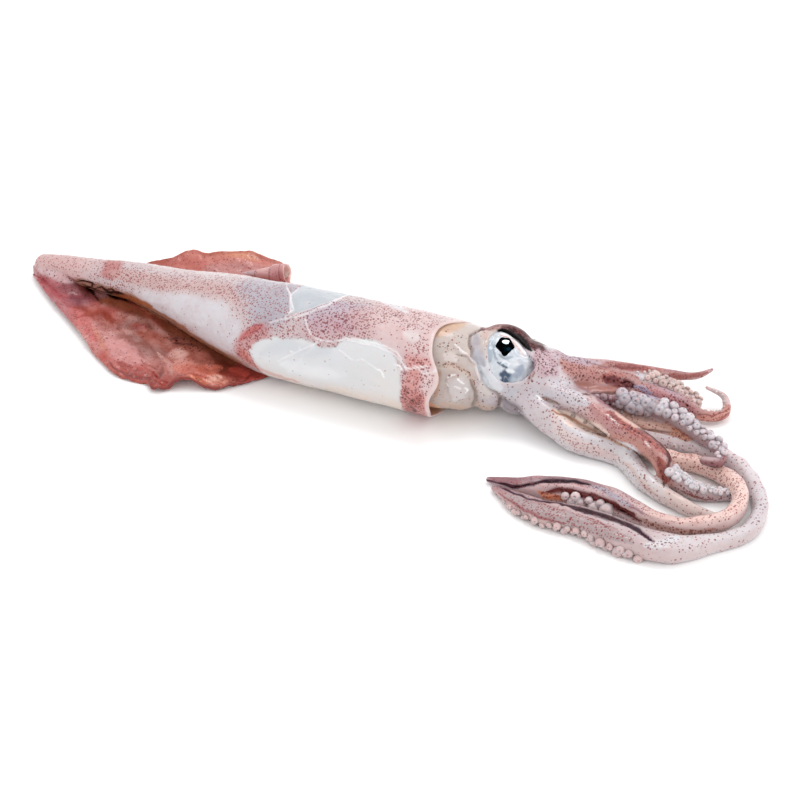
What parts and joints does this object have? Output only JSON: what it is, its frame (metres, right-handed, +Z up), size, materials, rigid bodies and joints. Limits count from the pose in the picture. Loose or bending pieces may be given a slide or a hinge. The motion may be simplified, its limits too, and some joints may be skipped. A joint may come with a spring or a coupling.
{
  "type": "whole raw squid",
  "caption": "Whole raw squid lying on its back: tapering mantle with spread fins, twisted head with large eyes, a fan of suckered arms and long tentacles curled back beside the head.",
  "frame": {"origin": "on the surface the squid lies on, under the middle of its length and width", "axes": "+X along the mantle from the tail tip to the arms, +Y to the far fin, +Z up from the surface to the belly side"},
  "size_m": [0.3063, 0.1069, 0.0345],
  "materials": {
    "flesh": "wet, semi-gloss, translucent skin with fine dots",
    "eye": "wet, glossy, silvery"
  },
  "bodies": {
    "root": {"squid": "flesh", "eye_left": "eye", "eye_right": "eye"}
  },
  "joints": []
}
